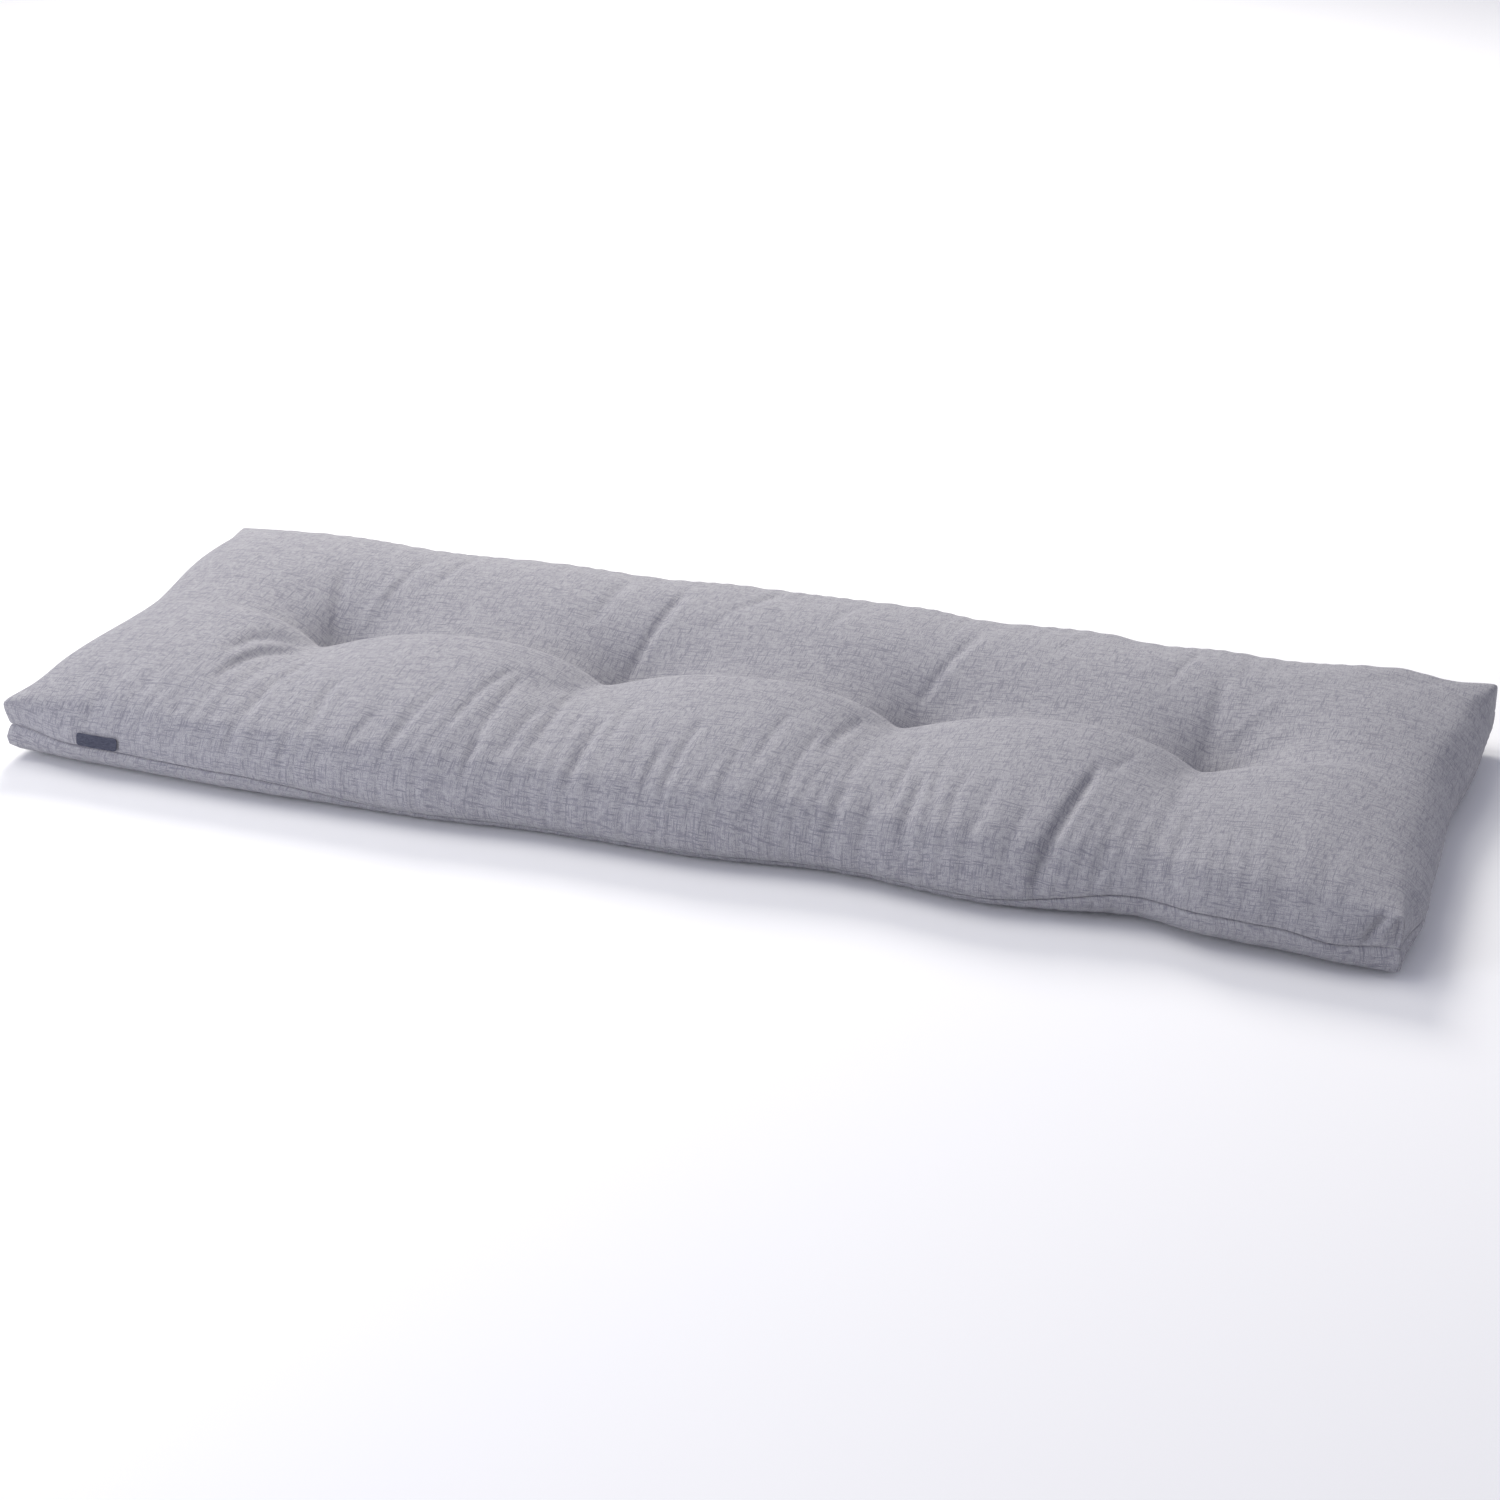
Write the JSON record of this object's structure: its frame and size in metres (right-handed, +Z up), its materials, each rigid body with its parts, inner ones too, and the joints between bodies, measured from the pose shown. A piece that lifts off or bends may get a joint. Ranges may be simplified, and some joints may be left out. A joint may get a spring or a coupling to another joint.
{
  "type": "bench cushion",
  "caption": "Long tufted bench cushion of grey melange cloth: a soft crowned pad with a sewn edge, boxed corners and a row of tuft pits, laid on a bench as seat padding.",
  "frame": {"origin": "on the surface that the cushion lies on, under the middle of its bounding box", "axes": "+X along the length, +Y from the front edge with the label to the back edge, +Z up"},
  "size_m": [1.207, 0.4612, 0.0855],
  "materials": {
    "cloth": "matte plain weave of pale and blue-grey slub yarns",
    "label": "matte dense woven tape, left bare"
  },
  "bodies": {
    "root": {"cushion": "cloth", "label": "label"}
  },
  "joints": []
}
